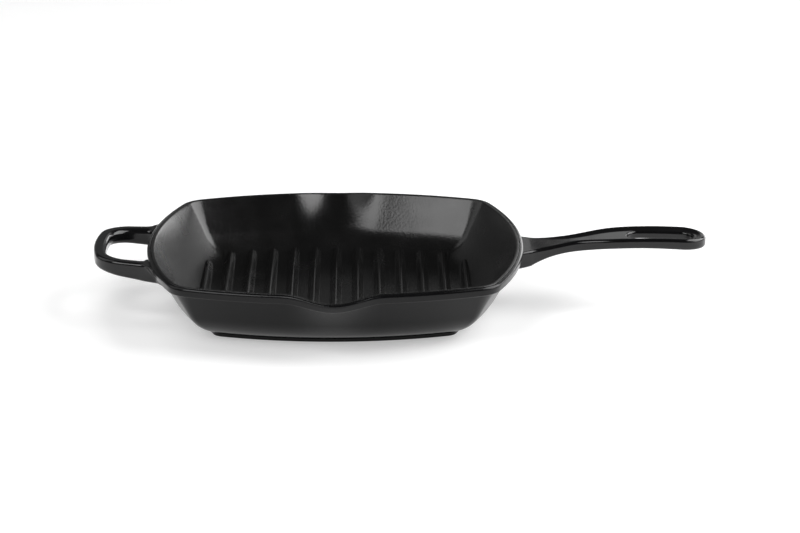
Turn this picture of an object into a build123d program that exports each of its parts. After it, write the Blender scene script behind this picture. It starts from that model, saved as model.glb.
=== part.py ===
"""Square cast-iron grill pan with an enamel lining.

Millimetres, +Z up. The origin is the centre of the foot's underside, where the pan
meets the hob. +X points along the long handle, and the ribs run along Y, from one
pouring spout to the other.

The pan is one casting. Each zone of it is a solid of its own, so that it can be
changed by itself, and neighbouring zones meet face to face.
"""

import math
import os

from build123d import *

# Rim, seen from above: four bowed sides joined by round corners
RIM_WIDTH = 263.6
RIM_DEPTH = 266.6
SIDE_RADIUS = 280.0
CORNER_RADIUS = 23.0
LEAST_CORNER_RADIUS = 8.0

# Wall and floor
RIM_HEIGHT = 43.0
DRAFT_ANGLE = 30.0
BOWL_RADIUS = 32.0
WALL = 3.5
FLOOR = 5.0
WALL_STEPS = 3
CURVE_STEPS = 6

# Raised foot under the floor
FOOT_HEIGHT = 2.0
FOOT_INSET = 35.5
FOOT_CORNER_RADIUS = 10.0
FOOT_EDGE = 0.6

# Thick band round the outside of the rim
BAND_HEIGHT = 6.3
BAND_PROUD = 1.2
BAND_ANGLE = 9.0

# Pouring spouts at the front and the back
SPOUT_REACH = 14.6
SPOUT_DROP = 3.4
SPOUT_HALF_WIDTH = 35.0
SPOUT_FADE_HEIGHT = 9.0
SPOUT_FADE_POWER = 1.5

# Enamel coat on the cooking side
ENAMEL = 0.45

# Ribs of the cooking surface
RIB_COUNT = 13
RIB_PITCH = 15.4
RIB_HEIGHT = 4.0
RIB_TOP_WIDTH = 2.4
RIB_BASE_WIDTH = 6.6
RIB_ROUND = 0.9
RIB_FIELD_INSET = 29.8
RIB_FIELD_CORNER = 25.0

# Long handle
HANDLE_REACH = 127.6
HANDLE_WIDTH = 36.0
HANDLE_NECK_WIDTH = 22.0
HANDLE_ROOT_HEIGHT = 40.0
HANDLE_RISE = 9.0
HANDLE_THICKNESS = 7.2
HANDLE_ROOT_DEPTH = 6.0
HANDLE_EDGE = 1.8
HANG_HOLE_LENGTH = 46.0
HANG_HOLE_WIDTH = 18.0
HANG_HOLE_END = 9.0
TROUGH_WIDTH = 20.0
TROUGH_DEPTH = 1.9

# Helper handle: a loop on the other side
HELPER_REACH = 37.1
HELPER_HALF_WIDTH = 47.8
HELPER_SPLAY = 9.0
HELPER_BOW = 6.6
HELPER_CORNER = 24.0
HELPER_ARM = 9.4
HELPER_RAIL = 8.0
OPENING_SPLAY = 6.0
OPENING_BOW = 3.5
HELPER_ROOT_HEIGHT = 41.0
HELPER_RISE = 2.2
HELPER_THICKNESS = 8.6
HELPER_ROOT_DEPTH = 4.0
HELPER_FLARE = 16.0
OPENING_FLARE = 8.0
FLARE_ANGLE = 55.0
HELPER_EDGE = 2.0

# Cutters run past what they cut by this much, and handles run this far into the wall
OVERRUN = 5.0
HANDLE_RUN_IN = 16.0
RUN_IN_RADIUS = 9.0

# Points of the front and back sides, as shares of half the side's length
SIDE_SHARES = (1.0, 0.66, 0.32, 0.24, 0.16, 0.08, 0.0, -0.08, -0.16, -0.24, -0.32, -0.66, -1.0)

# Points of the rim's dip at a spout, as shares of the spout's half width
DIP_SHARES = (-1.0, -0.75, -0.5, -0.25, 0.0, 0.25, 0.5, 0.75, 1.0)

# Long handle from above: share of the reach, share of the way from the neck's width to the full one
PLAN_SHARES = (
    (-0.10, 2.5),
    (-0.04, 2.3),
    (0.0, 1.75),
    (0.03, 1.15),
    (0.07, 0.72),
    (0.16, 0.27),
    (0.29, 0.0),
    (0.36, 0.26),
    (0.44, 0.66),
    (0.54, 0.91),
    (0.68, 1.0),
)

# Long handle from the side: share of the reach, share of the rise, share of the root's depth left
SIDE_VIEW_SHARES = (
    (-0.10, 0.0, 1.2),
    (0.0, 0.06, 0.95),
    (0.07, 0.13, 0.48),
    (0.15, 0.27, 0.1),
    (0.29, 0.61, 0.08),
    (0.43, 0.86, 0.02),
    (0.64, 1.0, 0.0),
    (0.85, 0.95, 0.1),
    (1.04, 0.79, 0.14),
)

# Trough in the handle's top: which points of the side view it follows, share of its width and depth
TROUGH_SHARES = ((3, 0.3, 0.15), (4, 0.55, 0.75), (5, 0.95, 1.0), (6, 1.0, 1.0))


def corner_centre(half_x, half_y, side_radius, corner_radius):
    """Centre of the corner arc that touches two bowed sides from inside.

    It lies at side_radius - corner_radius from the centres of both side arcs, so the
    two circle equations are subtracted and one quadratic is left.
    """
    centre_x = half_x - side_radius
    centre_y = half_y - side_radius
    reach = side_radius - corner_radius
    slope = centre_x / centre_y
    offset = (centre_y**2 - centre_x**2) / (2 * centre_y)
    a = 1 + slope**2
    b = 2 * (slope * offset - centre_x)
    c = centre_x**2 + offset**2 - reach**2
    x = (-b + math.sqrt(b**2 - 4 * a * c)) / (2 * a)
    return x, slope * x + offset


def corner_points(half_x, half_y, side_radius, corner_radius):
    """Start, middle and end of the corner arc between the +X side and the +Y side."""
    cx, cy = corner_centre(half_x, half_y, side_radius, corner_radius)
    start = math.atan2(cy, cx - (half_x - side_radius))
    end = math.atan2(cy - (half_y - side_radius), cx)
    angles = (start, (start + end) / 2, end)
    return [(cx + corner_radius * math.cos(t), cy + corner_radius * math.sin(t)) for t in angles]


def bell(share):
    """1 in the middle, 0 from 1 outwards, smooth at both."""
    return (1 + math.cos(math.pi * share)) / 2 if abs(share) < 1 else 0.0


def end_side(half_y, side_radius, end_x, spout, sign):
    """Front or back side, from +X to -X: the bowed side plus the spout's bell."""
    rim_end_x = corner_points(RIM_WIDTH / 2, RIM_DEPTH / 2, SIDE_RADIUS, CORNER_RADIUS)[2][0]
    bell_share = SPOUT_HALF_WIDTH / rim_end_x
    points = []
    for share in SIDE_SHARES:
        x = share * end_x
        bow = half_y - side_radius + math.sqrt(side_radius**2 - x**2)
        points.append((x, sign * (bow + spout * bell(share / bell_share))))
    slope = end_x / math.sqrt(side_radius**2 - end_x**2)
    tangents = [(-1, sign * slope), (-1, -sign * slope)]
    parameters = [(1 - share) / 2 for share in SIDE_SHARES]
    return Edge.make_spline(points, tangents=tangents, parameters=parameters)


def outline(height, inset, spout=None, corner_radius=None):
    """The pan's outline at a height, drawn in from the rim's by the inset.

    Without a spout the front and back are plain arcs like the other two sides.
    """
    half_x = RIM_WIDTH / 2 - inset
    half_y = RIM_DEPTH / 2 - inset
    side_radius = SIDE_RADIUS - inset
    if corner_radius is None:
        corner_radius = max(CORNER_RADIUS - inset, LEAST_CORNER_RADIUS)
    start, middle, end = corner_points(half_x, half_y, side_radius, corner_radius)
    with BuildSketch(Plane.XY.offset(height)) as section:
        with BuildLine():
            for sign in (1, -1):
                ThreePointArc((sign * start[0], -start[1]), (sign * half_x, 0), (sign * start[0], start[1]))
                for up in (1, -1):
                    ThreePointArc(*[(sign * x, up * y) for x, y in (start, middle, end)])
                if spout is None:
                    ThreePointArc((end[0], sign * end[1]), (0, sign * half_y), (-end[0], sign * end[1]))
                else:
                    add(end_side(half_y, side_radius, end[0], spout, sign))
        make_face()
    return section.sketch


def spout_at(height):
    """Reach of the spout at a height: full at the rim, gone low on the wall."""
    share = (height - SPOUT_FADE_HEIGHT) / (RIM_HEIGHT - SPOUT_FADE_HEIGHT)
    return SPOUT_REACH * max(share, 0.0) ** SPOUT_FADE_POWER


def wall_levels(inset, bottom, radius):
    """Heights and insets down the drafted wall, then down the arc into the floor."""
    draft = math.radians(DRAFT_ANGLE)
    touch = bottom + radius * (1 - math.sin(draft))
    wall = []
    for step in range(WALL_STEPS + 1):
        height = RIM_HEIGHT + (touch - RIM_HEIGHT) * step / WALL_STEPS
        wall.append((height, inset + (RIM_HEIGHT - height) * math.tan(draft)))
    base = wall[-1][1] + radius * math.cos(draft)
    curve = []
    for step in range(CURVE_STEPS + 1):
        angle = draft + (math.pi / 2 - draft) * step / CURVE_STEPS
        curve.append((bottom + radius * (1 - math.sin(angle)), base - radius * math.cos(angle)))
    return wall, curve


def bowl(inset, bottom, radius):
    """Solid of the bowl's outer or inner form, from its floor up to the rim.

    Straight steps lead from level to level, which keeps the part light in facets.
    """
    with BuildPart() as form:
        for levels in wall_levels(inset, bottom, radius):
            for height, level_inset in levels:
                add(outline(height, level_inset, spout_at(height)))
            loft(ruled=True)
    return form.part


def rim_curve_region(drop):
    """Everything above the rim's dipped curve, lowered by the drop, seen from the front."""
    half = RIM_WIDTH / 2 + SPOUT_REACH
    level = RIM_HEIGHT - drop
    top = RIM_HEIGHT + OVERRUN
    dip = [(share * SPOUT_HALF_WIDTH, level - SPOUT_DROP * bell(share)) for share in DIP_SHARES]
    with BuildPart() as region:
        with BuildSketch(Plane.XZ):
            with BuildLine():
                Polyline((-half, top), (-half, level), dip[0])
                Spline(*dip, tangents=[(1, 0), (1, 0)])
                Polyline(dip[-1], (half, level), (half, top), (-half, top))
            make_face()
        extrude(amount=RIM_DEPTH, both=True)
    return region.part


# Forms that several zones share
ceiling = FOOT_HEIGHT + FLOOR
rim_inset = BAND_PROUD + WALL / math.cos(math.radians(DRAFT_ANGLE))
outer_form = bowl(BAND_PROUD, FOOT_HEIGHT, BOWL_RADIUS)
cooking_space = bowl(rim_inset, ceiling, BOWL_RADIUS - WALL)
cast_space = bowl(rim_inset - ENAMEL, ceiling - ENAMEL, BOWL_RADIUS - WALL + ENAMEL)
above_rim = rim_curve_region(0)
above_band = rim_curve_region(BAND_HEIGHT)

# The band follows the rim's dip, so it is cut from a taller ring by the lowered curve
with BuildPart() as band_form:
    band_depth = BAND_HEIGHT + SPOUT_DROP + OVERRUN
    for step in range(WALL_STEPS + 1):
        down = band_depth * step / WALL_STEPS
        height = RIM_HEIGHT - down
        add(outline(height, down * math.tan(math.radians(BAND_ANGLE)), spout_at(height)))
    loft()
    add(above_band, mode=Mode.INTERSECT)

with BuildPart() as outside:
    add(outer_form)
    add(band_form.part)

with BuildPart() as pan_body:
    add(outside.part)
    add(cast_space, mode=Mode.SUBTRACT)
    add(above_rim, mode=Mode.SUBTRACT)
pan_body.part.label = "pan_body"

# The foot reaches up to the curve of the wall round its edge
with BuildPart() as base_foot:
    add(outline(0, FOOT_INSET, corner_radius=FOOT_CORNER_RADIUS))
    extrude(amount=ceiling)
    chamfer(base_foot.faces().sort_by(Axis.Z)[0].edges(), FOOT_EDGE)
    add(outer_form, mode=Mode.SUBTRACT)
base_foot.part.label = "base_foot"

# One rib's profile is repeated over the floor, and the bowl's curve trims the ends
flank_slope = (RIB_BASE_WIDTH - RIB_TOP_WIDTH) / 2 / RIB_HEIGHT
rib_root = ceiling - ENAMEL - OVERRUN
rib_root_half = RIB_BASE_WIDTH / 2 + (ceiling - rib_root) * flank_slope
with BuildSketch() as rib_profile:
    with BuildLine():
        Polyline(
            (-rib_root_half, rib_root),
            (-RIB_TOP_WIDTH / 2, ceiling + RIB_HEIGHT),
            (RIB_TOP_WIDTH / 2, ceiling + RIB_HEIGHT),
            (rib_root_half, rib_root),
            close=True,
        )
    make_face()
    fillet(rib_profile.vertices().group_by(Axis.Y)[-1], RIB_ROUND)

with BuildPart() as grill_ribs:
    with BuildSketch(Plane.XZ):
        with GridLocations(RIB_PITCH, RIB_PITCH, RIB_COUNT, 1):
            add(rib_profile.sketch)
    extrude(amount=RIM_DEPTH / 2, both=True)
    add(outline(rib_root, RIB_FIELD_INSET, corner_radius=RIB_FIELD_CORNER))
    extrude(amount=RIM_HEIGHT, mode=Mode.INTERSECT)
    add(cast_space, mode=Mode.INTERSECT)
grill_ribs.part.label = "grill_ribs"

# The lining covers the wall and the floor, and the ribs stand up through it
with BuildPart() as interior_enamel:
    add(cast_space)
    add(cooking_space, mode=Mode.SUBTRACT)
    add(above_rim, mode=Mode.SUBTRACT)
    add(grill_ribs.part, mode=Mode.SUBTRACT)
interior_enamel.part.label = "interior_enamel"


def wall_x(y):
    """How far from the middle the rim's right and left sides are at a distance y."""
    return RIM_WIDTH / 2 - SIDE_RADIUS + math.sqrt(SIDE_RADIUS**2 - y**2)


def root_points(half, splay, radius, grow):
    """The helper loop's edge where it leaves the pan, as the points of two arcs, on the +X side.

    From the splayed arm the first arc turns outwards where grow is 1, and inwards, for
    the opening, where it is -1. The second turns back, inside the wall.
    """
    turn = math.radians(FLARE_ANGLE)
    start = grow * math.radians(splay)
    spread = grow * (1 - math.cos(turn))
    at_rim = half + radius * spread
    rim = wall_x(at_rim)
    first = []
    second = []
    for share in (0, 1 / 2, 1):
        angle = start + (turn - start) * share
        out = radius * (math.sin(turn) - math.sin(angle))
        first.append((rim + out, half + grow * radius * (1 - math.cos(angle))))
        angle = turn * share
        back = RUN_IN_RADIUS * (math.sin(turn) - math.sin(turn - angle))
        second.append((rim - back, at_rim + grow * RUN_IN_RADIUS * (math.cos(turn - angle) - math.cos(turn))))
    return first, second


def loop_outline(half, splay, far, bow, corner, flare, grow):
    """Outline of the helper loop or of its opening, on the +X side.

    The arms close in by the splay on their way out, and the bow rounds the far side.
    """
    first, second = root_points(half, splay, flare, grow)
    near_x, near_y = first[0]
    corner_x = far - bow
    corner_y = near_y - (corner_x - near_x) * math.tan(math.radians(splay))
    end = (RIM_WIDTH / 2 - HANDLE_RUN_IN, second[-1][1])
    with BuildSketch() as plan:
        with BuildLine():
            for side in (1, -1):
                Line((corner_x, side * corner_y), (near_x, side * near_y))
                ThreePointArc(*[(x, side * y) for x, y in first])
                ThreePointArc(*[(x, side * y) for x, y in second])
                Line((second[-1][0], side * end[1]), (end[0], side * end[1]))
            Line(end, (end[0], -end[1]))
            ThreePointArc((corner_x, corner_y), (far, 0), (corner_x, -corner_y))
        make_face()
        fillet(plan.vertices().group_by(Axis.X)[-1], corner)
    return plan.sketch


def long_handle_plan():
    """Long handle from above, from inside the wall to the round tip."""
    root = RIM_WIDTH / 2
    tip = root + HANDLE_REACH
    neck = HANDLE_NECK_WIDTH / 2
    full = HANDLE_WIDTH / 2
    edge = [(root + x * HANDLE_REACH, neck + s * (full - neck)) for x, s in PLAN_SHARES]
    edge.append((tip - full, full))
    with BuildSketch() as plan:
        with BuildLine():
            for side in (1, -1):
                Spline(*[(x, side * y) for x, y in edge])
            Line(edge[0], (edge[0][0], -edge[0][1]))
            ThreePointArc(edge[-1], (tip, 0), (edge[-1][0], -edge[-1][1]))
        make_face()
    return plan.sketch


# The side view gives the long handle its arch, and the plan gives it its width
handle_top = []
handle_under = []
for x_share, rise_share, depth_share in SIDE_VIEW_SHARES:
    station = RIM_WIDTH / 2 + x_share * HANDLE_REACH
    level = HANDLE_ROOT_HEIGHT + rise_share * HANDLE_RISE
    handle_top.append((station, level))
    handle_under.append((station, level - HANDLE_THICKNESS - depth_share * HANDLE_ROOT_DEPTH))

with BuildPart() as long_handle:
    with BuildSketch(Plane.XZ):
        with BuildLine():
            Spline(*handle_top)
            Spline(*handle_under)
            Line(handle_top[0], handle_under[0])
            Line(handle_top[-1], handle_under[-1])
        make_face()
    extrude(amount=RIM_DEPTH / 2, both=True)
    add(long_handle_plan())
    extrude(amount=2 * RIM_HEIGHT, mode=Mode.INTERSECT)
    run_in_end = long_handle.vertices().sort_by(Axis.X)[0].X + OVERRUN
    tip_end = RIM_WIDTH / 2 + HANDLE_REACH
    long_edges = long_handle.edges().filter_by(Axis.Z, reverse=True)
    chamfer(long_edges.filter_by_position(Axis.X, run_in_end, tip_end), HANDLE_EDGE)

    for index, width_share, depth_share in TROUGH_SHARES:
        station, level = handle_top[index]
        half_width = width_share * TROUGH_WIDTH / 2
        with BuildSketch(Plane.YZ.offset(station)):
            with BuildLine():
                lowest = (0, level - depth_share * TROUGH_DEPTH)
                ThreePointArc((-half_width, level), lowest, (half_width, level))
                above = level + OVERRUN
                Polyline((half_width, level), (half_width, above), (-half_width, above), (-half_width, level))
            make_face()
    loft(ruled=True, mode=Mode.SUBTRACT)

    hole_centre = tip_end - HANG_HOLE_END - HANG_HOLE_LENGTH / 2
    with BuildSketch():
        with Locations((hole_centre, 0)):
            SlotOverall(HANG_HOLE_LENGTH, HANG_HOLE_WIDTH)
    extrude(amount=2 * RIM_HEIGHT, mode=Mode.SUBTRACT)
    add(outside.part, mode=Mode.SUBTRACT)
long_handle.part.label = "long_handle"

# The helper loop rises outwards, and its underside rises faster
helper_top = []
helper_under = []
for out in (-HANDLE_RUN_IN - OVERRUN, HELPER_REACH + OVERRUN):
    level = HELPER_ROOT_HEIGHT + HELPER_RISE * out / HELPER_REACH
    deeper = HELPER_ROOT_DEPTH * (1 - out / HELPER_REACH)
    helper_top.append((-RIM_WIDTH / 2 - out, level))
    helper_under.append((-RIM_WIDTH / 2 - out, level - HELPER_THICKNESS - deeper))

with BuildPart() as helper_handle:
    far_side = RIM_WIDTH / 2 + HELPER_REACH
    outer_loop = loop_outline(
        HELPER_HALF_WIDTH, HELPER_SPLAY, far_side, HELPER_BOW, HELPER_CORNER, HELPER_FLARE, 1
    )
    opening_half = HELPER_HALF_WIDTH - HELPER_ARM
    opening_far = far_side - HELPER_RAIL
    opening_corner = HELPER_CORNER - HELPER_RAIL
    opening = loop_outline(
        opening_half, OPENING_SPLAY, opening_far, OPENING_BOW, opening_corner, OPENING_FLARE, -1
    )
    with BuildSketch(Plane.XZ):
        with BuildLine():
            Polyline(*helper_top, *reversed(helper_under), close=True)
        make_face()
    extrude(amount=RIM_DEPTH / 2, both=True)
    with BuildSketch():
        mirror(outer_loop, about=Plane.YZ)
        mirror(opening, about=Plane.YZ, mode=Mode.SUBTRACT)
    extrude(amount=2 * RIM_HEIGHT, mode=Mode.INTERSECT)
    loop_edges = helper_handle.edges().filter_by(Axis.Z, reverse=True)
    inside_wall = -RIM_WIDTH / 2 + HANDLE_RUN_IN - OVERRUN / 2
    chamfer(loop_edges.filter_by_position(Axis.X, -far_side, inside_wall), HELPER_EDGE)
    add(outside.part, mode=Mode.SUBTRACT)
helper_handle.part.label = "helper_handle"

os.makedirs("parts", exist_ok=True)
for piece in (pan_body, base_foot, grill_ribs, interior_enamel, long_handle, helper_handle):
    solids = piece.part.solids()
    print(piece.part.label, len(solids), "solids", round(sum(solid.volume for solid in solids)), "mm3")
    export_step(piece.part, f"parts/{piece.part.label}.step")
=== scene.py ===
# %% [markdown]
# # A square grill pan in enamelled cast iron
#
# The pan is one iron casting: a shallow square bowl with a pouring spout at the front
# and the back, ribs across its floor, a long handle and a loop on the other side. It is
# sprayed with glass enamel and fired, matt black where the food lies and glossier black
# outside. The CAD model gives the true sizes. This script dresses it: each surface is
# worked out again with numpy, with the roundings that a casting has, and given a
# material. Lengths are in millimetres and turn into metres when a mesh is made.

import math

import bmesh
import bpy
import numpy as np
from mathutils import Matrix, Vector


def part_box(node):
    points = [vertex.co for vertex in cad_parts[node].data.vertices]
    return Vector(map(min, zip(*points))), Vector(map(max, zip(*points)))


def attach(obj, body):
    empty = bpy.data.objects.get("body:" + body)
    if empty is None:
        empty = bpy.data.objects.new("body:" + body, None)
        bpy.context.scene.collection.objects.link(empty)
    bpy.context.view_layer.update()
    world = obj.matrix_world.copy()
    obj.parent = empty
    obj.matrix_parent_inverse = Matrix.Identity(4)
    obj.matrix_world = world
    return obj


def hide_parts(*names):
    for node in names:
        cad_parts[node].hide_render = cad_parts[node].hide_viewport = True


MM = 0.001
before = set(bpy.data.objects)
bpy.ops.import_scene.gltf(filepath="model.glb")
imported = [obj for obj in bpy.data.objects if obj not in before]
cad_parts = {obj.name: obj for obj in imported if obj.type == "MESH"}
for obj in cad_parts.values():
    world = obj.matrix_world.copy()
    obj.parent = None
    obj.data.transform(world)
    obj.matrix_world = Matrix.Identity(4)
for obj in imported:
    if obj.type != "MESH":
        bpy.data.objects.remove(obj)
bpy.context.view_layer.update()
print("CAD nodes:", ", ".join(sorted(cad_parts)))

# %% [markdown]
# ## Sizes from the frame
#
# The boxes of the CAD nodes give the rim's width, the heights and the reach of both
# handles. The few angles and radii that a box can't tell are the model's own.

# %% Sizes from the frame
pan_low, pan_high = (np.array(corner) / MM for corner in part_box("pan_body"))
rib_low, rib_high = (np.array(corner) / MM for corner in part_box("grill_ribs"))
long_high = np.array(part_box("long_handle")[1]) / MM
helper_low = np.array(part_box("helper_handle")[0]) / MM
foot_high = np.array(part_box("base_foot")[1]) / MM

HALF_WIDTH = pan_high[0]
DEEPER = 1.5
HALF_DEPTH = HALF_WIDTH + DEEPER
SIDE_RADIUS = 280.0
CORNER_RADIUS = 23.0
LEAST_CORNER = 8.0
CORNER_BLEND = 3.0
RIM_TOP = pan_high[2]
UNDERSIDE = pan_low[2]
FLOOR = 5.0
FLOOR_TOP = UNDERSIDE + FLOOR
DRAFT = math.radians(30)
BAND_SLOPE = math.tan(math.radians(9))
BAND_HEIGHT = 6.3
OUTER_INSET = 1.2
WALL = 3.5
LINING = 0.45
BOWL_RADIUS = 32.0
SPOUT_REACH = 14.6
SPOUT_DROP = 3.4
SPOUT_HALF_WIDTH = 35.0
SPOUT_FOOT = 9.0
DIP_FROM = 15.0
DIP_OVER = 20.0
SPOUT_FADE_POWER = 1.5
LEAN_FROM = 1.0
LEAN_OVER = 3.6
print(f"rim {2 * HALF_WIDTH:.0f} mm wide at a height of {RIM_TOP:.0f} mm")


# %% [markdown]
# ## From arrays to a mesh
#
# Every piece is a few grids of points. A small helper turns the grids into quads, welds
# the points that meet, such as the poles and the seams, and points the faces outwards.

# %% Mesh helper
def grid_quads(rows, columns, closed):
    """Quads between neighbouring rows and columns; closed joins the last column to the first."""
    index = np.arange(rows * columns).reshape(rows, columns)
    if closed:
        index = np.concatenate((index, index[:, :1]), axis=1)
    corners = (index[:-1, :-1], index[:-1, 1:], index[1:, 1:], index[1:, :-1])
    return np.stack(corners, axis=-1).reshape(-1, 4)


def make_piece(name, grids, material, replaced):
    """Joins grids, each an array of rows, columns and xyz in mm with a closed flag, into one piece."""
    points, faces, start = [], [], 0
    for grid, closed in grids:
        faces.append(grid_quads(grid.shape[0], grid.shape[1], closed) + start)
        points.append(grid.reshape(-1, 3) * MM)
        start += grid.shape[0] * grid.shape[1]
    mesh = bpy.data.meshes.new(name)
    mesh.from_pydata(np.concatenate(points).tolist(), [], np.concatenate(faces).tolist())
    shape = bmesh.new()
    shape.from_mesh(mesh)
    bmesh.ops.remove_doubles(shape, verts=shape.verts, dist=0.002 * MM)
    bmesh.ops.dissolve_degenerate(shape, dist=0.0005 * MM, edges=shape.edges)
    bmesh.ops.recalc_face_normals(shape, faces=shape.faces)
    open_edges = sum(not edge.is_manifold for edge in shape.edges)
    shape.to_mesh(mesh)
    shape.free()
    mesh.shade_smooth()
    mesh.materials.append(material)
    piece = bpy.data.objects.new(name, mesh)
    bpy.context.scene.collection.objects.link(piece)
    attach(piece, "root")
    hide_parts(replaced)
    triangles = sum(len(polygon.vertices) - 2 for polygon in mesh.polygons)
    print(f"{name}: {triangles} triangles, {open_edges} open edges")


# %% [markdown]
# ## The two enamels
#
# Enamel is glass with pigment in it, melted onto the iron. It reflects like glass and
# never fires perfectly level: a faint orange peel, 1.5 to 3 mm across, breaks up each
# highlight. The lining is a matt enamel with fine solids in it, so its reflection is
# wider and its peel deeper. Glass has an index of about 1.5. The lining keeps it. The
# outside and the handles are set lower, to come nearer to how dark the real coat looks
# on a white ground. Noise on Object coordinates gives each peel its size in millimetres.

# %% Material helpers
def srgb(code):
    """A hex colour turned into linear light, as the shaders expect it."""
    channels = np.array([int(code[i : i + 2], 16) for i in (1, 3, 5)]) / 255
    linear = np.where(channels <= 0.04045, channels / 12.92, ((channels + 0.055) / 1.055) ** 2.4)
    return (*linear, 1.0)


def add_node(tree, kind, settings=None, links=None):
    """Adds a node, sets its properties and sockets by name, and links sockets of earlier nodes to it."""
    node = tree.nodes.new(kind)
    for key, value in (settings or {}).items():
        if key in node.inputs:
            node.inputs[key].default_value = value
        else:
            setattr(node, key, value)
    for key, source in (links or {}).items():
        tree.links.new(source, node.inputs[key])
    return node


def enamel(name, dark, light, ior, roughness, peel, peel_depth, grit, grit_depth):
    """Fired glass enamel: two close blacks, an index, a roughness that wanders, two reliefs in mm."""
    material = bpy.data.materials.new(name)
    material.use_nodes = True
    tree = material.node_tree
    tree.nodes.clear()
    place = add_node(tree, "ShaderNodeTexCoord").outputs["Object"]
    cloud = add_node(tree, "ShaderNodeTexNoise", {"Scale": 1 / (22 * MM), "Detail": 3.0}, {"Vector": place})
    tint = add_node(tree, "ShaderNodeMix", {"data_type": "RGBA"}, {"Factor": cloud.outputs["Fac"]})
    tint.inputs[6].default_value = srgb(dark)
    tint.inputs[7].default_value = srgb(light)
    polish = add_node(
        tree,
        "ShaderNodeMapRange",
        {"From Min": 0.3, "From Max": 0.7, "To Min": roughness[0], "To Max": roughness[1]},
        {"Value": cloud.outputs["Fac"]},
    )
    skin = add_node(
        tree,
        "ShaderNodeTexNoise",
        {"Scale": 1 / (peel * MM), "Detail": 1.0, "Roughness": 0.4},
        {"Vector": place},
    )
    relief = add_node(
        tree,
        "ShaderNodeBump",
        {"Strength": 1.0, "Distance": peel_depth * MM},
        {"Height": skin.outputs["Fac"]},
    )
    grain = add_node(tree, "ShaderNodeTexNoise", {"Scale": 1 / (grit * MM), "Detail": 2.0}, {"Vector": place})
    fine = add_node(
        tree,
        "ShaderNodeBump",
        {"Strength": 1.0, "Distance": grit_depth * MM},
        {"Height": grain.outputs["Fac"], "Normal": relief.outputs["Normal"]},
    )
    shader = add_node(
        tree,
        "ShaderNodeBsdfPrincipled",
        {"IOR": ior},
        {
            "Base Color": tint.outputs[2],
            "Roughness": polish.outputs["Result"],
            "Normal": fine.outputs["Normal"],
        },
    )
    add_node(tree, "ShaderNodeOutputMaterial", {}, {"Surface": shader.outputs["BSDF"]})
    return material


# %% The pan's three finishes
# Outside: satin black enamel, sprayed and fired, with a soft sheen and a faint peel
outside_enamel = enamel("satin_black_enamel", "#09090a", "#0f0f10", 1.34, (0.18, 0.25), 2.2, 0.02, 0.5, 0.002)

# Handles: the same enamel where it runs smoother, so it looks wet and its lights are crisp
handle_enamel = enamel("gloss_black_enamel", "#0c0c0d", "#121213", 1.45, (0.1, 0.16), 3.0, 0.02, 0.6, 0.001)

# Inside: matt black enamel with fine solids, whose peel shows in every broad reflection
lining_enamel = enamel("matt_black_enamel", "#0b0b0b", "#111111", 1.5, (0.2, 0.28), 1.5, 0.09, 0.6, 0.02)
print("finishes:", ", ".join(m.name for m in (outside_enamel, handle_enamel, lining_enamel)))


# %% [markdown]
# ## The square outline
#
# Seen from above, the rim is four sides bowed to one large radius, joined by round
# corners. Deeper in the bowl the same outline is drawn in by an inset. The side arcs
# keep their centres, and so does the corner while its radius shrinks with the inset, so
# one formula in two numbers, inset and height, gives every level of the pan. The spout
# adds a bell to the front and back sides.

# %% Outline of the pan
def corner_centre(inset, radius):
    """Centre of the corner arc: the point that lies one side radius less one corner radius from both
    side centres. The two circle equations are subtracted and one quadratic is left."""
    centre_x = HALF_WIDTH - SIDE_RADIUS
    centre_y = HALF_DEPTH - SIDE_RADIUS
    reach = SIDE_RADIUS - inset - radius
    slope = centre_x / centre_y
    offset = (centre_y**2 - centre_x**2) / (2 * centre_y)
    a = 1 + slope**2
    b = 2 * (slope * offset - centre_x)
    c = centre_x**2 + offset**2 - reach**2
    x = (-b + np.sqrt(b**2 - 4 * a * c)) / (2 * a)
    return x, slope * x + offset


def corner_radius(inset):
    """Corner radius at an inset: it shrinks with the inset and eases into its least value."""
    free = CORNER_RADIUS - inset
    blend = np.maximum(CORNER_BLEND - np.abs(free - LEAST_CORNER), 0)
    return np.maximum(free, LEAST_CORNER) + blend**2 / (4 * CORNER_BLEND)


def bell(share):
    """1 in the middle and 0 from 1 outwards: half a wave of a cosine."""
    return np.where(np.abs(share) < 1, (1 + np.cos(np.pi * np.clip(share, -1, 1))) / 2, 0.0)


# Columns round a quarter of the outline, from the +X side's middle to the +Y side's: 0 is the
# side, 1 the corner and 2 the end, each with its share of that part
KIND = np.repeat((0, 1, 2), (41, 28, 60))
SPOUT_FROM = 0.32
end_shares = np.concatenate((np.linspace(1, SPOUT_FROM, 16)[1:], np.linspace(SPOUT_FROM, 0, 46)[1:]))
SHARE = np.concatenate((np.linspace(0, 1, 41), np.linspace(0, 1, 29)[1:], end_shares))
LAST = KIND.size - 1
COLUMN = np.concatenate((np.arange(LAST), np.arange(LAST, 0, -1)) * 2)
SIGN_X = np.repeat((1, -1, -1, 1), LAST)
SIGN_Y = np.repeat((1, 1, -1, -1), LAST)


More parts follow.
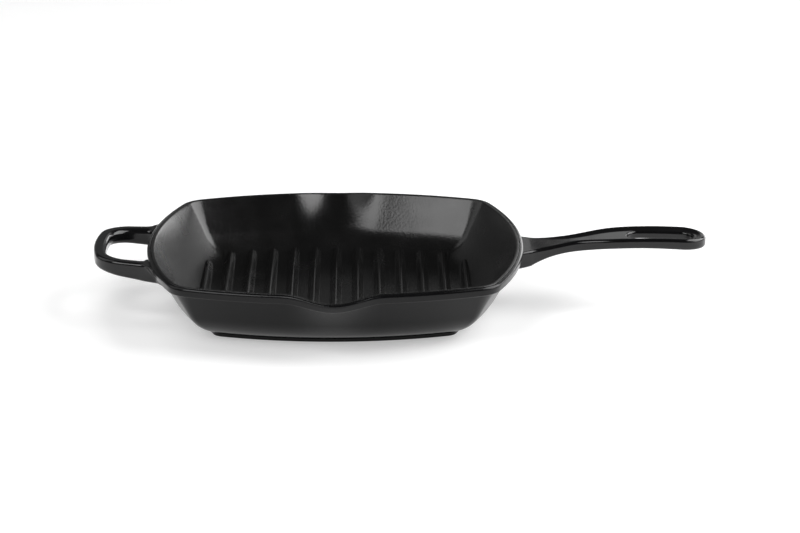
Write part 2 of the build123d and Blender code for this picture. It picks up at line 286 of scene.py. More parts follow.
def quarter(inset, spout, radius):
    """A quarter of the outline at each inset and spout, arrays of rows and columns.

    The side is an arc about its far centre, the corner an arc about its own, and the
    end the bowed side plus the spout times the bell.
    """
    cx, cy = corner_centre(inset, radius)
    side_x, side_y = HALF_WIDTH - SIDE_RADIUS, HALF_DEPTH - SIDE_RADIUS
    first = np.arctan2(cy, cx - side_x)
    last = np.arctan2(cy - side_y, cx)
    turn = np.where(KIND == 0, first * SHARE, first + (last - first) * SHARE)
    across = (cx + radius * np.cos(last)) * SHARE
    bow = side_y + np.sqrt((SIDE_RADIUS - inset) ** 2 - across**2)
    x = np.select(
        (KIND == 0, KIND == 1, KIND == 2),
        (side_x + (SIDE_RADIUS - inset) * np.cos(turn), cx + radius * np.cos(turn), across),
    )
    y = np.select(
        (KIND == 0, KIND == 1, KIND == 2),
        ((SIDE_RADIUS - inset) * np.sin(turn), cy + radius * np.sin(turn), bow + spout * DIP),
    )
    return x, y


rim_corner = corner_centre(0.0, CORNER_RADIUS)[0]
rim_end = rim_corner * SIDE_RADIUS / (SIDE_RADIUS - CORNER_RADIUS)
DIP = np.where(KIND == 2, bell(SHARE * rim_end / SPOUT_HALF_WIDTH), 0.0)
print(f"the rim's ends are {2 * rim_end:.0f} mm long, and a loop has {COLUMN.size} points")


# %% [markdown]
# ## From a section to the whole bowl
#
# A section through the wall is a line of insets and heights, as in a turner's drawing.
# Each of its points becomes a loop round the pan. Where the rim dips into a spout the
# loop drops by the same bell and moves in along the wall's slope, and lower down the
# wall the dip fades, so that the floor stays flat.

# %% Loops from a section
def loops(inset, height, scale=None, radius=None):
    """Turns a section into rows of loops. Scale shrinks a loop towards the middle, down to a pole."""
    inset, height = np.atleast_1d(inset)[:, None], np.atleast_1d(height)[:, None]
    rise = np.clip((height - DIP_FROM) / DIP_OVER, 0, 1)
    drop = SPOUT_DROP * DIP * rise**2 * (3 - 2 * rise)
    lean = BAND_SLOPE + (math.tan(DRAFT) - BAND_SLOPE) * np.clip((inset - LEAN_FROM) / LEAN_OVER, 0, 1)
    inset = inset + drop * lean
    height = height - drop
    up = np.clip((height - SPOUT_FOOT) / (RIM_TOP - SPOUT_FOOT), 0, 1)
    spout = SPOUT_REACH * up**SPOUT_FADE_POWER
    x, y = quarter(inset, spout, corner_radius(inset) if radius is None else radius + 0 * inset)
    x, y, z = x[:, COLUMN] * SIGN_X, y[:, COLUMN] * SIGN_Y, height[:, COLUMN]
    shrink = np.ones(inset.shape[0]) if scale is None else scale
    return np.stack((x * shrink[:, None], y * shrink[:, None], z), axis=-1)


def arc(centre, radius, start, end, count):
    """Points of an arc in a section, from one angle to another in degrees."""
    angle = np.radians(np.linspace(start, end, count))
    return np.stack((centre[0] + radius * np.cos(angle), centre[1] + radius * np.sin(angle)), axis=-1)


def bowl_section(inset, bottom, radius, top, wall_rows, curve_rows):
    """The wall from a height down its draft, then the arc into the floor."""
    touch = bottom + radius * (1 - math.sin(DRAFT))
    height = np.linspace(top, touch, wall_rows)
    wall = np.stack((inset + (RIM_TOP - height) * math.tan(DRAFT), height), axis=-1)
    centre = (wall[-1, 0] + radius * math.cos(DRAFT), bottom + radius)
    turn = np.radians(np.linspace(30, 90, curve_rows))
    curve = np.stack((centre[0] - radius * np.cos(turn), centre[1] - radius * np.sin(turn)), axis=-1)
    return np.concatenate((wall, curve[1:]))


def floor_loops(inset, height, count, radius=None):
    """A flat floor: the last loop shrunk step by step into a pole."""
    scale = np.linspace(1, 0, count)[1:]
    return loops(np.full(scale.size, inset), np.full(scale.size, height), scale, radius)


# %% [markdown]
# ## Rim, band and wall
#
# The rim of such a pan is the thickest part you see: a band runs round the outside and
# stiffens the wall. Its edges are well rounded, because enamel creeps away from a sharp
# edge in the kiln. On top, a fine groove parts the glossier coat of the outside from the
# matt lining, which rolls over the inner half of the rim. The two coats are two pieces
# here too, and they meet at the bottom of that groove.

# %% Sections of the rim
GROOVE_AT = 2.85
GROOVE_HALF = 0.55
GROOVE_DEPTH = 0.6
LIP_ROUND = 2.2
BAND_ROUND = 1.2
BAND_FILLET = 1.6
LINING_ROUND = 1.1
JOINT_DEPTH = 2.0

lining_inset = OUTER_INSET + WALL / math.cos(DRAFT)
across_groove = np.linspace(0, GROOVE_HALF, 7)
groove_top = RIM_TOP - GROOVE_DEPTH * bell(across_groove / GROOVE_HALF)
lip_centre = (LIP_ROUND * (1 + BAND_SLOPE), RIM_TOP - LIP_ROUND)
outer_lip = arc(lip_centre, LIP_ROUND, 90, 189, 12)
band_low = RIM_TOP - BAND_HEIGHT
edge_centre = ((BAND_HEIGHT - BAND_ROUND) * BAND_SLOPE + BAND_ROUND, band_low + BAND_ROUND)
band_edge = arc(edge_centre, BAND_ROUND, 189, 270, 8)
fillet_height = band_low - BAND_FILLET
fillet_inset = OUTER_INSET + (RIM_TOP - fillet_height) * math.tan(DRAFT) - BAND_FILLET / math.cos(DRAFT)
band_fillet = arc((fillet_inset, fillet_height), BAND_FILLET, 90, 30, 8)
outer_wall = bowl_section(OUTER_INSET, UNDERSIDE, BOWL_RADIUS, band_fillet[-1, 1], 16, 22)

outer_section = np.concatenate(
    (
        np.stack((GROOVE_AT - across_groove, groove_top), axis=-1),
        outer_lip,
        band_edge,
        band_fillet,
        outer_wall[1:],
    )
)
roll_height = RIM_TOP - LINING_ROUND
roll_inset = lining_inset + LINING_ROUND * math.tan(DRAFT) - LINING_ROUND / math.cos(DRAFT)
inner_roll = arc((roll_inset, roll_height), LINING_ROUND, 90, 30, 8)
inner_radius = BOWL_RADIUS - WALL
inner_wall = bowl_section(lining_inset, FLOOR_TOP, inner_radius, inner_roll[-1, 1], 18, 24)
inner_section = np.concatenate(
    (np.stack((GROOVE_AT + across_groove, groove_top), axis=-1), inner_roll, inner_wall[1:])
)
joint_low = RIM_TOP - JOINT_DEPTH
hidden = bowl_section(lining_inset - LINING, FLOOR_TOP - LINING, inner_radius + LINING, joint_low, 5, 8)
joint = np.array(((GROOVE_AT, RIM_TOP - GROOVE_DEPTH), (GROOVE_AT, joint_low)))
joint = np.concatenate((joint, hidden))
print(f"sections: {len(outer_section)} points outside, {len(inner_section)} inside")


# %% Casting and lining
def skin(section, floor_rows):
    """Rows of loops along a section, and on over its floor to the pole."""
    rows = loops(section[:, 0], section[:, 1])
    floor = floor_loops(section[-1, 0], section[-1, 1], floor_rows)
    return np.concatenate((rows, floor))


joint_rows = skin(joint, 3)
pan_grid = np.concatenate((skin(outer_section, 8)[::-1], joint_rows[1:]))
make_piece("pan_shell", [(pan_grid, True)], outside_enamel, "pan_body")
lining_grid = np.concatenate((skin(inner_section, 14)[::-1], joint_rows[1:]))
make_piece("cooking_lining", [(lining_grid, True)], lining_enamel, "interior_enamel")

# %% [markdown]
# ## Foot
#
# A low step under the floor keeps the wall's curve off the hob and gives the pan a true
# flat to stand on. It is a plain plate with a rounded edge, which runs up into the
# casting, so its top never shows.

# %% Foot
FOOT_INSET = HALF_WIDTH - foot_high[0]
FOOT_CORNER = 9.0
FOOT_ROUND = 0.8
FOOT_SUNK = 0.2
foot_top = foot_high[2] + FOOT_SUNK
foot_edge = arc((FOOT_INSET + FOOT_ROUND, FOOT_ROUND), FOOT_ROUND, 180, 270, 7)
foot_side = np.array(((FOOT_INSET, foot_top), (FOOT_INSET, UNDERSIDE)))
foot_section = np.concatenate((foot_side, foot_edge))
foot_grid = np.concatenate(
    (
        floor_loops(FOOT_INSET, foot_top, 3, FOOT_CORNER)[::-1],
        loops(foot_section[:, 0], foot_section[:, 1], radius=FOOT_CORNER),
        floor_loops(foot_section[-1, 0], 0.0, 8, FOOT_CORNER),
    )
)
make_piece("foot", [(foot_grid, True)], outside_enamel, "base_foot")


# %% [markdown]
# ## Ribs
#
# The ribs lift the food out of its fat. Cast ribs need draft to leave the mould: narrow
# and rounded on top, wider at the root, with a soft fillet into the floor. Where the
# bowl's curve rises, it swallows their ends. So a rib is a height field: the rib's own
# profile and the bowl's surface, and at each point a smooth maximum of the two.

# %% Ribs
RIB_COUNT = 13
RIB_PITCH = 15.4
RIB_TOP_HALF = 0.8
RIB_BASE_HALF = 3.7
FIELD_INSET = 29.8
FIELD_CORNER = 25.0
RIB_SKIRT = 1.3
RIB_END = 5.0
RIB_SUNK = 0.4
NEAR_END = 0.9
RIB_ROUND = 1.0
RIB_FILLET = 1.0
BELOW_LINING = 0.06
BOWL_CORNER_BLEND = 9.4


def smooth_min(a, b, blend):
    """The smaller of two heights, with the corner between them rounded over the blend."""
    return np.minimum(a, b) - np.maximum(blend - np.abs(a - b), 0) ** 2 / (4 * blend)


def smooth_max(a, b, blend):
    """The larger of two heights, rounded the same way."""
    return -smooth_min(-a, -b, blend)


def bowl_height(x, y):
    """Height of the cooking surface above a point: flat floor, then a circle, then the draft.

    The inset at a point is its distance in from the nearest bowed side, rounded over
    the corner.
    """
    from_side = SIDE_RADIUS - np.hypot(np.abs(x) + SIDE_RADIUS - HALF_WIDTH, y)
    from_end = SIDE_RADIUS - np.hypot(x, np.abs(y) + SIDE_RADIUS - HALF_DEPTH)
    inset = smooth_min(from_side, from_end, BOWL_CORNER_BLEND)
    centre = inner_wall[-1, 0]
    circle = np.sqrt(np.maximum(inner_radius**2 - np.clip(centre - inset, 0, None) ** 2, 0))
    draft = RIM_TOP - (inset - lining_inset) / math.tan(DRAFT)
    curved = FLOOR_TOP + inner_radius - circle
    return np.where(centre - inset > inner_radius * math.cos(DRAFT), draft, curved)


def rib_grid(x, reach):
    """One rib about the line at x: rows along its length, columns round its section, closed below."""
    height = rib_high[2] - FLOOR_TOP
    tip = np.linspace(NEAR_END, 1, 15)
    along = np.concatenate((-tip[::-1], np.linspace(-NEAR_END, NEAR_END, 41)[1:-1], tip))
    across = np.linspace(-RIB_BASE_HALF - RIB_SKIRT, RIB_BASE_HALF + RIB_SKIRT, 37)
    y = (along * reach)[:, None]
    flank = (RIB_BASE_HALF - np.abs(across)) * height / (RIB_BASE_HALF - RIB_TOP_HALF)
    profile = smooth_min(flank, height, RIB_ROUND)
    to_end = np.clip((reach - np.abs(y)) / RIB_END, 0, 1)
    profile = profile * (1 - (1 - to_end) ** 2) - RIB_SUNK * (1 - to_end) ** 2
    surface = bowl_height(x + across, y)
    top = smooth_max(FLOOR_TOP + profile, surface - BELOW_LINING, RIB_FILLET)
    under = np.full((along.size, 1), rib_low[2])
    z = np.concatenate((top, under + np.zeros((1, 9))), axis=1)
    back = np.linspace(across[-1], across[0], 9)
    columns = x + np.concatenate((across, back))
    grid = np.stack((columns + 0 * z, y + 0 * z, z), axis=-1)
    caps = np.broadcast_to([x, 0.0, rib_low[2]], (1, columns.size, 3)).copy()
    start, end = caps.copy(), caps.copy()
    start[..., 1], end[..., 1] = y[0, 0], y[-1, 0]
    return np.concatenate((start, grid, end))


field_x, field_y = quarter(np.full((1, 1), FIELD_INSET), 0.0, np.full((1, 1), FIELD_CORNER))
order = np.argsort(field_x[0])
rib_places = (np.arange(RIB_COUNT) - (RIB_COUNT - 1) / 2) * RIB_PITCH
rib_reaches = np.interp(np.abs(rib_places), field_x[0][order], field_y[0][order])
rib_grids = [(rib_grid(x, reach), True) for x, reach in zip(rib_places, rib_reaches)]
make_piece("ribs", rib_grids, lining_enamel, "grill_ribs")
print("half lengths of the ribs:", np.round(rib_reaches[:7]))


# %% [markdown]
# ## Handles as slabs between two outlines
#
# Both handles are slabs: seen from above each is a strip between an outer outline and an
# inner one, which is the edge of an opening or the middle line. A point walks along both
# outlines at once, and the rows run from one to the other over the top, down the side
# and back below. Near an edge the rows sit close together and follow a quarter circle,
# which makes the rounding. The roots run on into the wall and end inside it.

# %% Slab between two outlines
QUARTER_TURN = np.radians(np.linspace(0, 90, 8))
FLAT_ROWS = np.linspace(0, 1, 14)[1:-1, None]
SEAT_OVER = 5.0
SEAT_POWER = 1.5
NO_EDGE = 1e-6


def slab(inner, outer, inner_edge, outer_edge, top, under):
    """Rows of x, y, upper and lower height from the inner outline to the outer one.

    Each row is a share of the way across. Within an edge's radius of an end the share
    follows a quarter circle, and the heights close in by the rest of the circle.
    """
    span = outer - inner
    length = np.hypot(span[:, 0], span[:, 1])
    start, end = inner_edge / length, outer_edge / length
    near = (1 - np.cos(QUARTER_TURN))[:, None]
    middle = start + FLAT_ROWS * (1 - start - end)
    share = np.concatenate((near * start, middle, 1 - near[::-1] * end))
    fall = (1 - np.sin(QUARTER_TURN))[:, None]
    closing = np.concatenate((fall * inner_edge, 0 * FLAT_ROWS, fall[::-1] * outer_edge))
    x = inner[:, 0] + share * span[:, 0]
    y = inner[:, 1] + share * span[:, 1]
    return x, y, top(x, y, (1 - share) * length) - closing, under(x, y) + closing


def side_rows(x, y, high, low, count):
    """A plain side between an upper and a lower edge, without the edges themselves."""
    share = np.linspace(0, 1, count + 2)[1:-1, None]
    return np.stack((x + 0 * share, y + 0 * share, high + (low - high) * share), axis=-1)


def wall_line(y, z):
    """How far out the casting's wall is at a distance y from the middle and a height z."""
    bow = HALF_WIDTH - SIDE_RADIUS + np.sqrt(SIDE_RADIUS**2 - y**2)
    return bow - OUTER_INSET - (RIM_TOP - z) * math.tan(DRAFT)


def seat_root(grid, root, depth):
    """Draws the first columns in so that the root ends inside the slanting wall, and closes its end."""
    x, y, z = grid[..., 0], grid[..., 1], grid[..., 2]
    near = np.clip((root + SEAT_OVER - x) / SEAT_OVER, 0, 1)
    target = wall_line(y[:, :1], z[:, :1]) - depth
    moved = x - near**SEAT_POWER * (x[:, :1] - target)
    seated = np.stack((moved, y, z), axis=-1)
    cap = np.broadcast_to(seated[:, 0].mean(axis=0), (grid.shape[0], 1, 3)).copy()
    return np.concatenate((cap, seated), axis=1)


def natural_spline(x, knots, values):
    """Smooth curve through knots: cubics whose second derivatives match, and are 0 at both ends."""
    knots, values = np.asarray(knots, float), np.asarray(values, float)
    step, rise = np.diff(knots), np.diff(values)
    size = knots.size
    system = np.eye(size)
    inner = np.arange(1, size - 1)
    system[inner, inner - 1] = step[:-1]
    system[inner, inner] = 2 * (step[:-1] + step[1:])
    system[inner, inner + 1] = step[1:]
    right = np.zeros(size)
    right[1:-1] = 6 * (rise[1:] / step[1:] - rise[:-1] / step[:-1])
    bend = np.linalg.solve(system, right)
    part = np.clip(np.searchsorted(knots, x) - 1, 0, size - 2)
    h, a, b = step[part], knots[part + 1] - x, x - knots[part]
    return (
        (bend[part] * a**3 + bend[part + 1] * b**3) / (6 * h)
        + (values[part] / h - bend[part] * h / 6) * a
        + (values[part + 1] / h - bend[part + 1] * h / 6) * b
    )


# %% [markdown]
# ## Long handle
#
# The handle leaves the rim wide and low, narrows to a neck, then rises and spreads into
# a flat grip that ends in a half circle, with a slot to hang it by. Its top is dished:
# a rail runs along each edge and round the tip. Side view and plan are two smooth
# curves through a few points, given as shares of the handle's reach.

# %% Long handle
HANDLE_REACH = long_high[0] - HALF_WIDTH
NECK_HALF = 11.0
GRIP_HALF = 18.0
ROOT_TOP = 40.0
RISE = 9.0
THICKNESS = 7.2
ROOT_DEPTH = 6.0
HANDLE_EDGE = 2.3
SLOT_HALF = 9.0
SLOT_EDGE = 1.4
SLOT_LENGTH = 46.0
DISH = 1.7
RAIL_FLAT = 1.8
DISH_SLOPE = 6.5
ROOT_SUNK = 2.0
PINCH = 7.0
OUTER_PINCH = 5.0
ROOT_INSIDE = 3.0
ROOT_OUTSIDE = 6.0
DISH_OVER_SHARE = 0.3
DISH_DELAY_SHARE = 0.25
PLAN_SHARES = np.array(
    ((-0.1, 2.5), (-0.04, 2.3), (0, 1.75), (0.03, 1.15), (0.07, 0.72), (0.16, 0.27), (0.29, 0))
    + ((0.36, 0.26), (0.44, 0.66), (0.54, 0.91), (0.68, 1), (0.859, 1))
)
SIDE_SHARES = np.array(
    ((-0.1, 0, 1.2), (0, 0.06, 0.95), (0.07, 0.13, 0.48), (0.15, 0.27, 0.1), (0.29, 0.61, 0.08))
    + ((0.43, 0.86, 0.02), (0.64, 1, 0), (0.85, 0.95, 0.1), (1.04, 0.79, 0.14))
)
TIP_CENTRE = long_high[0] - GRIP_HALF
SLOT_CENTRE = TIP_CENTRE + SLOT_HALF - SLOT_LENGTH / 2
SLOT_NEAR = SLOT_CENTRE - SLOT_LENGTH / 2


def handle_half(x):
    """Half the handle's width along its reach."""
    wider = natural_spline((x - HALF_WIDTH) / HANDLE_REACH, *PLAN_SHARES.T)
    return NECK_HALF + (GRIP_HALF - NECK_HALF) * wider


def handle_level(x):
    """Height of the rails along the reach."""
    return ROOT_TOP + RISE * natural_spline((x - HALF_WIDTH) / HANDLE_REACH, *SIDE_SHARES[:, :2].T)


def slot_fall(x, y):
    """How far the surface drops at the rounded edge of the hanging slot."""
    flat = np.maximum(np.abs(x - SLOT_CENTRE) - SLOT_LENGTH / 2 + SLOT_HALF, 0)
    away = np.clip(np.hypot(flat, y) - SLOT_HALF, 0, SLOT_EDGE)
    return SLOT_EDGE - np.sqrt(SLOT_EDGE**2 - (SLOT_EDGE - away) ** 2)


def handle_top(x, y, to_edge):
    """The rails' height, less the dish that starts at the neck, less the slot's rounded edge."""
    start = np.clip((x - HALF_WIDTH) / HANDLE_REACH / DISH_OVER_SHARE - DISH_DELAY_SHARE, 0, 1)
    inward = np.clip((to_edge - RAIL_FLAT) / DISH_SLOPE, 0, 1)
    dish = DISH * start**2 * (3 - 2 * start) * inward**2 * (3 - 2 * inward)
    return handle_level(x) - dish - slot_fall(x, y)


def handle_under(x, y):
    """The underside: one thickness below the rails, deeper towards the root."""
    deeper = natural_spline((x - HALF_WIDTH) / HANDLE_REACH, SIDE_SHARES[:, 0], SIDE_SHARES[:, 2])
    depth = THICKNESS + ROOT_DEPTH * np.maximum(deeper, 0)
    return handle_level(x) - depth + slot_fall(x, y)


handle_root = HALF_WIDTH - ROOT_INSIDE
root_end = HALF_WIDTH + ROOT_OUTSIDE
root_x = np.linspace(handle_root, root_end, 30)[:-1]
run_x = np.concatenate((root_x, np.linspace(root_end, SLOT_NEAR - PINCH, 84)))
close_in = 1 - np.linspace(1, 0, 16)[1:] ** 2
round_in = np.radians(np.linspace(180, 90, 22)[1:])
round_out = np.radians(np.linspace(90, 0, 48)[1:])
straight = np.linspace(SLOT_NEAR + SLOT_HALF, TIP_CENTRE, 26)[1:]
inner_line = np.concatenate(
    (
        np.stack((run_x, 0 * run_x), axis=-1),
        np.stack((SLOT_NEAR - PINCH + PINCH * close_in, 0 * close_in), axis=-1),
        np.stack((SLOT_NEAR + SLOT_HALF * (1 + np.cos(round_in)), SLOT_HALF * np.sin(round_in)), axis=-1),
        np.stack((straight, 0 * straight + SLOT_HALF), axis=-1),
        np.stack((TIP_CENTRE + SLOT_HALF * np.cos(round_out), SLOT_HALF * np.sin(round_out)), axis=-1),
    )
)
outer_x = np.concatenate(
    (
        run_x,
        SLOT_NEAR - PINCH + OUTER_PINCH * close_in,
        np.linspace(SLOT_NEAR - PINCH + OUTER_PINCH, SLOT_NEAR + SLOT_HALF, 22)[1:],
        straight,
    )
)
outer_line = np.concatenate(
    (
        np.stack((outer_x, handle_half(outer_x)), axis=-1),
        np.stack((TIP_CENTRE + GRIP_HALF * np.cos(round_out), GRIP_HALF * np.sin(round_out)), axis=-1),
    )
)
hx, hy, high, low = slab(inner_line, outer_line, NO_EDGE, HANDLE_EDGE, handle_top, handle_under)
upper = np.stack((hx, hy, high), axis=-1)
lower = np.stack((hx, hy, low), axis=-1)[::-1]
outer_side = side_rows(hx[-1], hy[-1], high[-1], low[-1], 4)
half_sheet = np.concatenate((upper, outer_side, lower))
slot_from = run_x.size + close_in.size - 1
slot_side = side_rows(hx[0], hy[0], high[0], low[0], 4)
slot_wall = np.concatenate((upper[:1], slot_side, lower[-1:]))[:, slot_from:]
half_sheet = seat_root(half_sheet, HALF_WIDTH, ROOT_SUNK)
half_sheet[:, 0, 1] = 0
mirror = np.array((1, -1, 1))
handle_grids = [(g, False) for g in (half_sheet, half_sheet * mirror, slot_wall, slot_wall * mirror)]
make_piece("long_grip", handle_grids, handle_enamel, "long_handle")

# %% [markdown]
# ## Helper loop
#
# A loaded iron pan needs a second hand, so the other side carries a loop: two short arms
# and a far rail, one strip of nearly even width with round corners. Where the arms meet the
# rim they flare, outside and inside, as a casting must.

# %% Helper loop
LOOP_HALF = 47.8
LOOP_SPLAY = math.radians(9)
LOOP_BOW = 6.6
LOOP_CORNER = 24.0
LOOP_FLARE = 16.0
ARM = 9.4
RAIL = 9.0
OPENING_SPLAY = math.radians(6)
OPENING_BOW = 3.5
OPENING_FLARE = 6.0
OPENING_CORNER = 20.5
FLARE_TURN = math.radians(55)
RUN_IN = 9.0
LOOP_ROOT_TOP = 41.0
LOOP_RISE = 2.2
LOOP_THICKNESS = 8.6
LOOP_ROOT_DEPTH = 4.0
LOOP_OUTER_EDGE = 2.4
LOOP_INNER_EDGE = 3.4
LOOP_SEAT = 4.0
loop_reach = -helper_low[0]


def loop_outline(half, splay, far, bow, corner, flare, grow):
    """Half an outline of the loop, from inside the wall to the middle of the far rail.

    Two arcs make the flare. Then comes a straight arm at the splay angle, a corner arc
    that touches the arm and the rail's arc, and the bowed rail.
    """
    at_rim = half + grow * flare * (1 - math.cos(FLARE_TURN))
    rim = HALF_WIDTH - SIDE_RADIUS + math.sqrt(SIDE_RADIUS**2 - at_rim**2)
    turn = FLARE_TURN * np.linspace(1, 0, 9)
    back = RUN_IN * (math.sin(FLARE_TURN) - np.sin(FLARE_TURN - turn))
    spread = RUN_IN * (np.cos(FLARE_TURN - turn) - math.cos(FLARE_TURN))
    run_in = np.stack((rim - back, at_rim + grow * spread), axis=-1)
    turn = np.linspace(FLARE_TURN, grow * splay, 31)[1:]
    out = flare * (math.sin(FLARE_TURN) - np.sin(turn))
    flared = np.stack((rim + out, half + grow * flare * (1 - np.cos(turn))), axis=-1)
    near = flared[-1]
    far_half = near[1] - math.tan(splay) * (far - bow - near[0])
    bow_radius = (far_half**2 + bow**2) / (2 * bow)
    along = np.array((math.cos(splay), -math.sin(splay)))
    inward = np.array((-math.sin(splay), -math.cos(splay)))
    start = near + corner * inward - np.array((far - bow_radius, 0.0))
    ahead = start @ along
    length = -ahead + math.sqrt(ahead**2 - start @ start + (bow_radius - corner) ** 2)
    centre = start + length * along
    low_angle = math.atan2(centre[1], centre[0])
    centre = centre + np.array((far - bow_radius, 0.0))
    arm = near + np.linspace(0, 1, 14)[1:, None] * length * along
    angle = np.linspace(math.pi / 2 - splay, low_angle, 29)[1:]
    bend = centre + corner * np.stack((np.cos(angle), np.sin(angle)), axis=-1)
    angle = np.linspace(low_angle, 0, 14)[1:]
    rail = np.stack((far - bow_radius + bow_radius * np.cos(angle), bow_radius * np.sin(angle)), axis=-1)
    return np.concatenate((run_in, flared, arm, bend, rail))


def loop_top(x, y, to_edge):
    """The loop rises in a straight line from the rim to the far rail."""
    return LOOP_ROOT_TOP + LOOP_RISE * (x - HALF_WIDTH) / (loop_reach - HALF_WIDTH)


def loop_under(x, y):
    """Its underside rises faster, so the arms are deepest at the rim."""
    left = 1 - (x - HALF_WIDTH) / (loop_reach - HALF_WIDTH)
    return loop_top(x, y, 0) - LOOP_THICKNESS - LOOP_ROOT_DEPTH * left


loop_outer = loop_outline(LOOP_HALF, LOOP_SPLAY, loop_reach, LOOP_BOW, LOOP_CORNER, LOOP_FLARE, 1)
opening_size = (LOOP_HALF - ARM, OPENING_SPLAY, loop_reach - RAIL, OPENING_BOW, OPENING_CORNER)
loop_inner = loop_outline(*opening_size, OPENING_FLARE, -1)
lx, ly, high, low = slab(loop_inner, loop_outer, LOOP_INNER_EDGE, LOOP_OUTER_EDGE, loop_top, loop_under)
upper = np.stack((lx, ly, high), axis=-1)
lower = np.stack((lx, ly, low), axis=-1)[::-1]
outer_side = side_rows(lx[-1], ly[-1], high[-1], low[-1], 4)
inner_side = side_rows(lx[0], ly[0], low[0], high[0], 4)
ring = np.concatenate((upper, outer_side, lower, inner_side, upper[:1]))
ring = seat_root(ring, HALF_WIDTH - LOOP_SEAT, ROOT_SUNK) * np.array((-1, 1, 1))
loop_grids = [(ring, False), (ring * mirror, False)]
make_piece("helper_loop", loop_grids, handle_enamel, "helper_handle")

# %% [markdown]
# ## Floor, camera and light
#
# The photograph is a catalogue picture: white ground, a long lens a little above the
# rim, and a dark room with a few soft boxes. Black enamel shows little else than what it
# mirrors, so each box is placed where its mirror image has to fall. The front one, left
# of the lens, gives the pale field on the far wall. The large one on the right gives the
# streak in the left corner and much of the light on the left wall, and a low one behind
# on the right adds to that wall and its rim. A faint one behind shows in the long
# handle's top, and the left one lights the right wall. The one high behind is kept out
# of the reflections, because it would show as a band at the foot of the far wall.

# %% Floor
floor_mesh = bpy.data.meshes.new("studio_floor")
# The paper lies a tenth of a millimetre below the foot, so that the two flats stay apart
edge, level = 8.0, -0.1 * MM
PAPER_GLOW = 0.42
floor_corners = [(-edge, -edge, level), (edge, -edge, level), (edge, edge, level), (-edge, edge, level)]
floor_mesh.from_pydata(floor_corners, [], [(0, 1, 2, 3)])
floor = bpy.data.objects.new("studio_floor", floor_mesh)
bpy.context.scene.collection.objects.link(floor)
paper = bpy.data.materials.new("white_studio_paper")
paper.use_nodes = True
tree = paper.node_tree
tree.nodes.clear()
rays = add_node(tree, "ShaderNodeLightPath")
seen = add_node(tree, "ShaderNodeMath", {"operation": "MAXIMUM"})
tree.links.new(rays.outputs["Is Camera Ray"], seen.inputs[0])
tree.links.new(rays.outputs["Is Glossy Ray"], seen.inputs[1])
also = add_node(tree, "ShaderNodeMath", {"operation": "MAXIMUM"})
tree.links.new(seen.outputs[0], also.inputs[0])
tree.links.new(rays.outputs["Is Transmission Ray"], also.inputs[1])
glow = add_node(tree, "ShaderNodeMath", {"operation": "MULTIPLY"}, {0: also.outputs[0]})
glow.inputs[1].default_value = PAPER_GLOW
matt = add_node(tree, "ShaderNodeBsdfDiffuse", {"Color": srgb("#d8d8d8")})
light = add_node(tree, "ShaderNodeEmission", {"Color": srgb("#ffffff")}, {"Strength": glow.outputs[0]})
both = add_node(tree, "ShaderNodeAddShader", {}, {0: matt.outputs[0], 1: light.outputs[0]})
# From below the floor is clear, so that the pan's underside can be looked at
below = add_node(tree, "ShaderNodeNewGeometry")
clear = add_node(tree, "ShaderNodeBsdfTransparent")
sided = add_node(
    tree, "ShaderNodeMixShader", {}, {0: below.outputs["Backfacing"], 1: both.outputs[0], 2: clear.outputs[0]}
)
add_node(tree, "ShaderNodeOutputMaterial", {}, {"Surface": sided.outputs[0]})
floor_mesh.materials.append(paper)
print(f"floor: {2 * edge:.0f} m of {paper.name}")

# %% Camera
FOCAL_PIXELS = 3395.0
IMAGE_WIDTH = 800
TILT = 0.286
TURN = 0.010
DISTANCE = 2383.0
LOOK_RIGHT = 45.2
LOOK_HEIGHT = 24.6
camera_data = bpy.data.cameras.new("photo_camera")
camera_data.sensor_width = 36.0
camera_data.lens = FOCAL_PIXELS * camera_data.sensor_width / IMAGE_WIDTH
camera_data.clip_start, camera_data.clip_end = 0.1, 50.0
camera = bpy.data.objects.new("photo_camera", camera_data)
bpy.context.scene.collection.objects.link(camera)
cos, sin = math.cos(TILT), math.sin(TILT)
axes = Matrix(((1, 0, 0), (0, sin, -cos), (0, cos, sin))).to_4x4()
place = Matrix.Translation((LOOK_RIGHT * MM, -DISTANCE * cos * MM, (LOOK_HEIGHT + DISTANCE * sin) * MM))
camera.matrix_world = Matrix.Rotation(-TURN, 4, "Z") @ place @ axes
bpy.context.scene.camera = camera
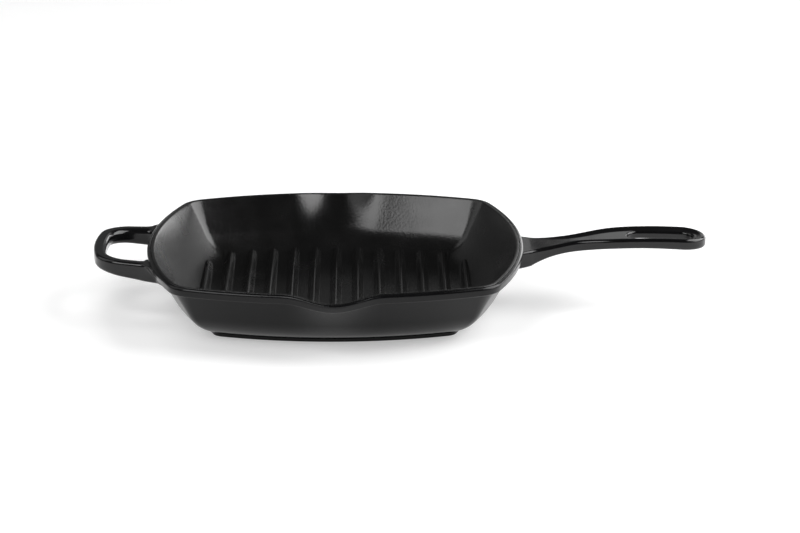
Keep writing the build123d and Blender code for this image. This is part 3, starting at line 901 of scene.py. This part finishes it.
print(f"camera: {camera_data.lens:.0f} mm lens, {math.degrees(TILT):.1f} degrees above the floor")


# %% Lamps and room
def soft_box(name, azimuth, elevation, distance, size, radiance):
    """A rectangular lamp seen from the pan at an azimuth (0 is the viewer, 90 the right) and an elevation."""
    a, e = math.radians(azimuth), math.radians(elevation)
    towards = np.array((math.sin(a) * math.cos(e), -math.cos(a) * math.cos(e), math.sin(e)))
    data = bpy.data.lights.new(name, "AREA")
    data.shape = "RECTANGLE"
    data.size, data.size_y = size
    data.energy = radiance * math.pi * size[0] * size[1]
    lamp = bpy.data.objects.new(name, data)
    bpy.context.scene.collection.objects.link(lamp)
    right = np.array((math.cos(a), math.sin(a), 0))
    up = np.cross(towards, right)
    turn = np.stack((right, up, towards), axis=-1)
    lamp.matrix_world = Matrix.Translation(towards * distance) @ Matrix(turn.tolist()).to_4x4()
    return lamp


soft_box("front_box", -42, 45, 1.7, (0.92, 0.84), 4.6)
soft_box("right_box", 98, 36, 1.6, (1.6, 1.45), 5.0)
soft_box("left_box", -105, 42, 1.8, (1.3, 1.6), 0.9)
back_box = soft_box("back_box", -140, 62, 1.8, (1.1, 0.9), 2.0)
back_box.visible_glossy = False
soft_box("low_box", 146, 6.5, 2.0, (1.4, 0.43), 2.4)
soft_box("wall_box", 162, 21, 2.0, (0.9, 0.55), 0.45)

# The room: a little light on the far walls below 12 degrees, next to none above 27
world = bpy.data.worlds.new("dark_studio")
world.use_nodes = True
bpy.context.scene.world = world
tree = world.node_tree
background = tree.nodes["Background"]
background.inputs["Color"].default_value = srgb("#ffffff")
sky = add_node(tree, "ShaderNodeTexCoord")
split = add_node(tree, "ShaderNodeSeparateXYZ", {}, {"Vector": sky.outputs["Generated"]})
wall = add_node(
    tree,
    "ShaderNodeMapRange",
    {"From Min": 0.2, "From Max": 0.45, "To Min": 0.15, "To Max": 0.03},
    {"Value": split.outputs["Z"]},
)
tree.links.new(wall.outputs["Result"], background.inputs["Strength"])
bpy.context.scene.view_settings.view_transform = "Standard"
